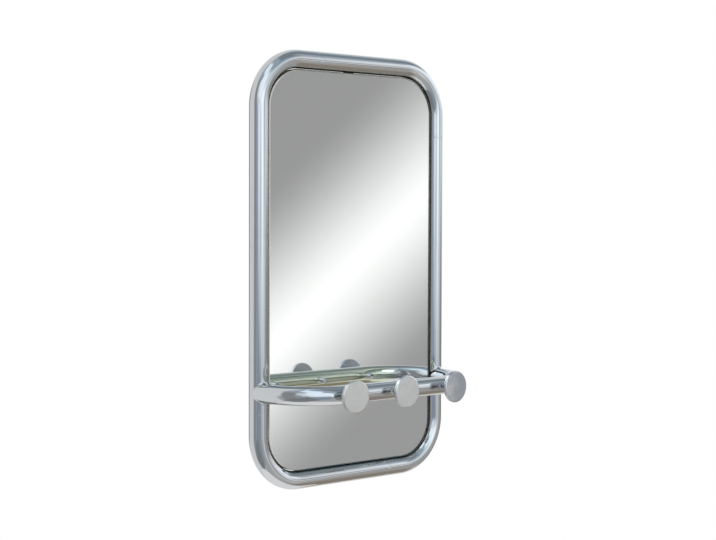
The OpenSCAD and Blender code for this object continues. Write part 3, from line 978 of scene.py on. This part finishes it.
def make_tab_welds(tree):
    """Beads along the longest side of each weld's box."""
    points, edges = [], []
    for low, high in islands("tab_welds"):
        span = high - low
        along = Vector((1, 0, 0)) if span.x > span.z else Vector((0, 0, 1))
        centre = (low + high) / 2 - Vector((0, 0.3 * MM, 0))
        radius = min(span.x, span.z) / 2
        half = max(span.x, span.z) / 2 - radius
        edges.append((len(points), len(points) + 1))
        points += [centre - along * half, centre + along * half]
    piece = nodes_piece("tab_weld_beads", points, edges, tree, {"Bead radius": radius, "Seed": 5})
    bake(piece)
    stand_for(piece, "tab_welds")


# ---- surroundings

PANEL_VALUES = ("At azimuth", "At elevation", "Half width", "Half height", "Turn", "Softness")


def soft_panel_group():
    """How much of a soft-edged rectangle of the studio a direction meets, all in degrees."""
    group, r, given, out = new_tree(
        "ShaderNodeTree", "soft panel",
        [(label, "Float", 0.0) for label in ("Azimuth", "Elevation") + PANEL_VALUES],
        [("Share", "Float")])
    away = r.math("WRAP", r.math("SUBTRACT", given["Azimuth"], given["At azimuth"]), 180.0, -180.0)
    up = r.math("SUBTRACT", given["Elevation"], given["At elevation"])
    turn = r.math("RADIANS", given["Turn"])
    cos, sin = r.math("COSINE", turn), r.math("SINE", turn)
    u = r.math("ADD", r.product(away, cos), r.product(up, sin))
    v = r.math("SUBTRACT", r.product(up, cos), r.product(away, sin))
    shares = []
    for across, half in ((u, given["Half width"]), (v, given["Half height"])):
        inner = r.math("SUBTRACT", half, given["Softness"])
        outer = r.math("ADD", half, given["Softness"])
        shares.append(r.span(r.math("ABSOLUTE", across), inner, outer, 1.0, 0.0))
    r.put(out["Share"], r.product(*shares))
    return group


# What bright metal and the mirror see of the studio: the panel values and the light of each soft
# panel or gap, over a near-white room. The floor begins between the two elevations of FLOOR_EDGE.
ROOM_WHITE = rgb(0.89, 0.91, 0.92)
PANELS = (
    ("ceiling", 8, 69, 109.8, 25.5, 1, 2.7, (0.45, 0.55, 0.63)),
    ("ceiling edge", 117, 42, 9.3, 1.9, -24, 2.8, (0.53, 0.60, 0.63)),
    ("ceiling gap", 57, 52, 39.4, 28.5, -1, 4.5, (0.28, 0.33, 0.37)),
    ("blue wall", 13, 19, 19.7, 23.1, -19, 4.5, (0.38, 0.52, 0.63)),
    ("low wall", -2, -33, 96.0, 26.1, -4, 4.5, (0.52, 0.54, 0.54)),
    ("low shade", -22, -14, 22.5, 22.3, 6, 4.5, (0.35, 0.41, 0.49)),
    ("brown wall", 55, -18, 22.3, 19.0, -10, 4.5, (0.50, 0.47, 0.44)),
    ("brown foot", 79, -49, 37.3, 9.6, -10, 4.5, (0.36, 0.31, 0.26)),
    ("right shade", 109, -18, 39.8, 15.8, -5, 4.5, (0.33, 0.34, 0.34)),
    ("light band", 22, 12, 52.9, 8.5, -3, 2.4, (0.97, 1.03, 1.09)),
    ("right glare", 82, 18, 36.8, 9.0, -11, 4.3, (1.24, 1.33, 1.41)),
    ("right softbox", 28, 7, 28.2, 8.8, -35, 4.5, (0.86, 0.96, 1.03)),
    ("dim band", 60, -15, 24.9, 8.8, -17, 4.2, (0.51, 0.51, 0.51)),
    ("window", -36, 60, 28.6, 13.0, -27, 4.5, (1.12, 1.32, 1.48)),
    ("window sill", -23, 26, 26.3, 15.9, -19, 4.5, (1.21, 1.35, 1.49)),
    ("front softbox", -17, 2, 23.5, 5.2, -4, 4.5, (1.13, 1.24, 1.37)),
    ("softbox seam", -7, 0, 16.8, 3.4, 6, 2.8, (0.74, 0.86, 0.96)),
    ("softbox tube", 12, 5, 12.8, 7.7, -14, 4.5, (1.43, 1.53, 1.60)),
    ("left gap", -74, -7, 14.0, 53.4, 7, 4.5, (0.36, 0.37, 0.38)),
    ("left screen", -53, -6, 7.0, 22.9, 28, 4.5, (0.41, 0.46, 0.54)),
    ("dark wedge", -57, -42, 33.2, 22.1, 36, 2.0, (0.28, 0.30, 0.31)),
    ("shelf shade", 52, 36, 9.4, 8.1, -13, 4.5, (0.49, 0.56, 0.63)),
    ("low glare", 131, -35, 19.4, 17.3, 23, 4.4, (0.91, 0.89, 0.85)),
    ("lamp", -49, 22, 5.1, 5.5, -4, 3.2, (0.94, 1.02, 1.16)),
    ("warm low wall", 32, -19, 10.2, 12.4, 1, 2.9, (0.67, 0.67, 0.68)),
    ("back doorway", 180, 2, 15, 16, 0, 7, (0.34, 0.36, 0.40)),
    ("grey screen", 41.3, -2.6, 4.2, 8.4, 0, 0.6, (0.353, 0.353, 0.353)),
    ("light strip", 41, -2.35, 14, 1.8, 45, 2.66, (1.22, 1.22, 1.22)),
)
FLOOR_TONE = rgb(0.80, 0.78, 0.72)
FLOOR_EDGE = (-72.0, -56.0)
# What lights dull surfaces from all round.
PLAIN_LIGHT = rgb(0.85, 0.85, 0.85)
WHITE = rgb(1.0, 1.0, 1.0)


def make_world():
    """White to the camera, plain light on the object, and a studio for the metal to reflect."""
    world = bpy.data.worlds.new("studio")
    bpy.context.scene.world = world
    world.use_nodes = True
    r = Recipe(world.node_tree)
    way = r.parts(r.add("ShaderNodeTexCoord").outputs["Generated"])
    azimuth = r.math("DEGREES", r.math("ARCTAN2", way["X"], r.product(way["Y"], -1.0)))
    elevation = r.math("DEGREES", r.math("ARCSINE", way["Z"]))
    panel = soft_panel_group()
    tone = ROOM_WHITE
    for name, *values, light in PANELS:
        given = {"Azimuth": azimuth, "Elevation": elevation, **dict(zip(PANEL_VALUES, values))}
        share = r.add("ShaderNodeGroup", given, node_tree=panel, label=name).outputs["Share"]
        tone = r.mix(share, tone, rgb(*light))
    tone = r.mix(r.span(elevation, *FLOOR_EDGE, 1.0, 0.0), tone, FLOOR_TONE)
    path = r.add("ShaderNodeLightPath").outputs
    reflected = r.math("MAXIMUM", path["Is Glossy Ray"], path["Is Transmission Ray"])
    tone = r.mix(reflected, PLAIN_LIGHT, tone)
    tone = r.mix(path["Is Camera Ray"], tone, WHITE)
    back = r.add("ShaderNodeBackground", {"Color": tone, "Strength": 1.0})
    r.put(r.add("ShaderNodeOutputWorld").inputs["Surface"], back.outputs["Background"])


def make_floor():
    """A pale round floor below the wall that the mirror hangs on. It keeps the object's shadow."""
    radius, sides = 0.7, 96
    level = RING_LOW.z - FLOOR_DROP
    r = Finish("pale floor", Roughness=0.9, Specular_IOR_Level=0.1, Emission_Color=WHITE)
    path = r.add("ShaderNodeLightPath").outputs
    seen = r.math("MAXIMUM", path["Is Camera Ray"], path["Is Glossy Ray"])
    seen = r.math("MAXIMUM", seen, path["Is Transmission Ray"])
    r.put(r.inputs["Emission Strength"], r.product(seen, 0.22))
    tone = r.mix(r.noise(r.place, 1.3, 3.0), rgb(0.83, 0.83, 0.83), rgb(0.86, 0.86, 0.86))
    bm = bmesh.new()
    bm.faces.new([bm.verts.new((x, y, level)) for x, y in arc(0, RING.y, radius, 0, 360, sides)[:-1]])
    new_piece("floor", bm, r.done(tone))


def make_lamp(name, place, aim, size, power):
    lamp = bpy.data.lights.new(name, "AREA")
    lamp.shape = "DISK"
    lamp.size = size
    lamp.energy = power
    holder = bpy.data.objects.new(name, lamp)
    holder.location = place
    holder.rotation_euler = (Vector(aim) - Vector(place)).to_track_quat("-Z", "Y").to_euler()
    holder.visible_glossy = False
    holder.visible_camera = False
    show(holder)


# The camera, as solved from the outline of the frame, the rail, the discs and their reflections:
# its place, its turn to the right of straight ahead, its tilt down, its roll and its lens.
CAMERA_PLACE = Vector((-1.6554, -1.9123, -0.1353))
CAMERA_TURN = 0.7232
CAMERA_TILT = math.radians(2.216)
CAMERA_ROLL = 0.0036
FOCAL_PX = 1530.6
PHOTO_W = 716
SENSOR = 36.0
NEAR, FAR = 0.05, 50.0


def make_camera():
    data = bpy.data.cameras.new("camera")
    data.sensor_width = SENSOR
    data.lens = FOCAL_PX / PHOTO_W * SENSOR
    data.clip_start, data.clip_end = NEAR, FAR
    camera = bpy.data.objects.new("camera", data)
    level = Vector((math.sin(CAMERA_TURN), math.cos(CAMERA_TURN), 0))
    ahead = level * math.cos(CAMERA_TILT) - Vector((0, 0, math.sin(CAMERA_TILT)))
    side = Vector((math.cos(CAMERA_TURN), -math.sin(CAMERA_TURN), 0))
    top = side.cross(ahead)
    right = (side + top * CAMERA_ROLL).normalized()
    top = right.cross(ahead)
    turned = Matrix((right, top, -ahead)).transposed().to_4x4()
    camera.matrix_world = Matrix.Translation(CAMERA_PLACE) @ turned
    show(camera)
    bpy.context.scene.camera = camera


# ---- building it

# What each set of screws clamps to the board: the height of its heads' seats from the board's back.
SHEET = {"panel_screws": 2 * MM, "hanger_screws": 2 * MM, "bumper_screws": 4 * MM}

make_camera()
make_world()
make_floor()
make_lamp("overhead softbox", (-0.9, -1.9, 1.9), (0, -0.1, -0.3), 1.6, 14.0)
make_lamp("back fill", (0.9, 2.2, 0.9), (0, 0, -0.3), 1.8, 10.0)

wear = polish_wear_group()
dust = dust_group()
tube_look = (wear, (0.60, 0.61, 0.62), (0.56, 0.565, 0.57), 0.025)
chrome = bright_metal("polished chrome", *tube_look)
# The rail's chrome carries a painted green tint on its mirror side, for light bounced between the rail and
# the mirror.
rail_chrome = bright_metal("rail chrome", *tube_look, painted_mirror_tint=(0.63, 0.66, 0.53))
peg_chrome = bright_metal("peg chrome", wear, (0.58, 0.59, 0.60), (0.53, 0.535, 0.54), 0.04)
tab_chrome = bright_metal("tab chrome", wear, (0.57, 0.58, 0.59), (0.50, 0.50, 0.50), 0.10)
weld_plate = bright_metal("plated weld", wear, (0.57, 0.575, 0.58), (0.50, 0.50, 0.49), 0.09)
knob_metal = turned_metal("turned knob plate", wear)
zinc_plate = zinc("zinc hanger plate", wear, 0.30)
zinc_screw = zinc("zinc screw plate", wear, 0.24)

make_frame_tube(chrome)
make_hook_rail(rail_chrome)
for weld_side, weld_name in ((-1, "left"), (1, "right")):
    make_rail_weld(weld_side, "rail_weld_" + weld_name, weld_plate)
for hook_place, hook_name in zip((-1, 0, 1), ("left", "centre", "right")):
    make_knob(hook_name, hook_place, knob_metal)
    make_peg(hook_name, hook_place, peg_chrome)
make_glass(clear_glass(), ground_edge())
softened("pressed_panel_tabs", "panel_tabs", 0.3 * MM, tab_chrome)
for hanger_name in ("hanger_left", "hanger_right"):
    softened("keyhole_" + hanger_name, hanger_name, 0.35 * MM, zinc_plate)
make_bumpers(rubber(dust))
screw_tree = pan_screw_tree(zinc_screw)
for held, screws, chance in (("tabs", "panel_screws", 3), ("hangers", "hanger_screws", 8),
                             ("bumpers", "bumper_screws", 21)):
    make_screws("pan_screws_of_" + held, screws, screw_tree, chance)
make_tab_welds(bead_tree(weld_plate))

# CAD nodes of the right shape stay and get their finish.
for finish, node_names in ((silver(), ["mirror_silvering"]),
                           (foam(), ["mounting_tapes"]),
                           (stained_board(dust), ["backing_board"]),
                           (drawn_steel(), ["joint_sleeve", "hook_studs", "rail_spacers"])):
    for node_name in node_names:
        for holder in NODES[node_name].material_slots:
            holder.material = finish

bpy.context.scene.view_settings.view_transform = "Standard"
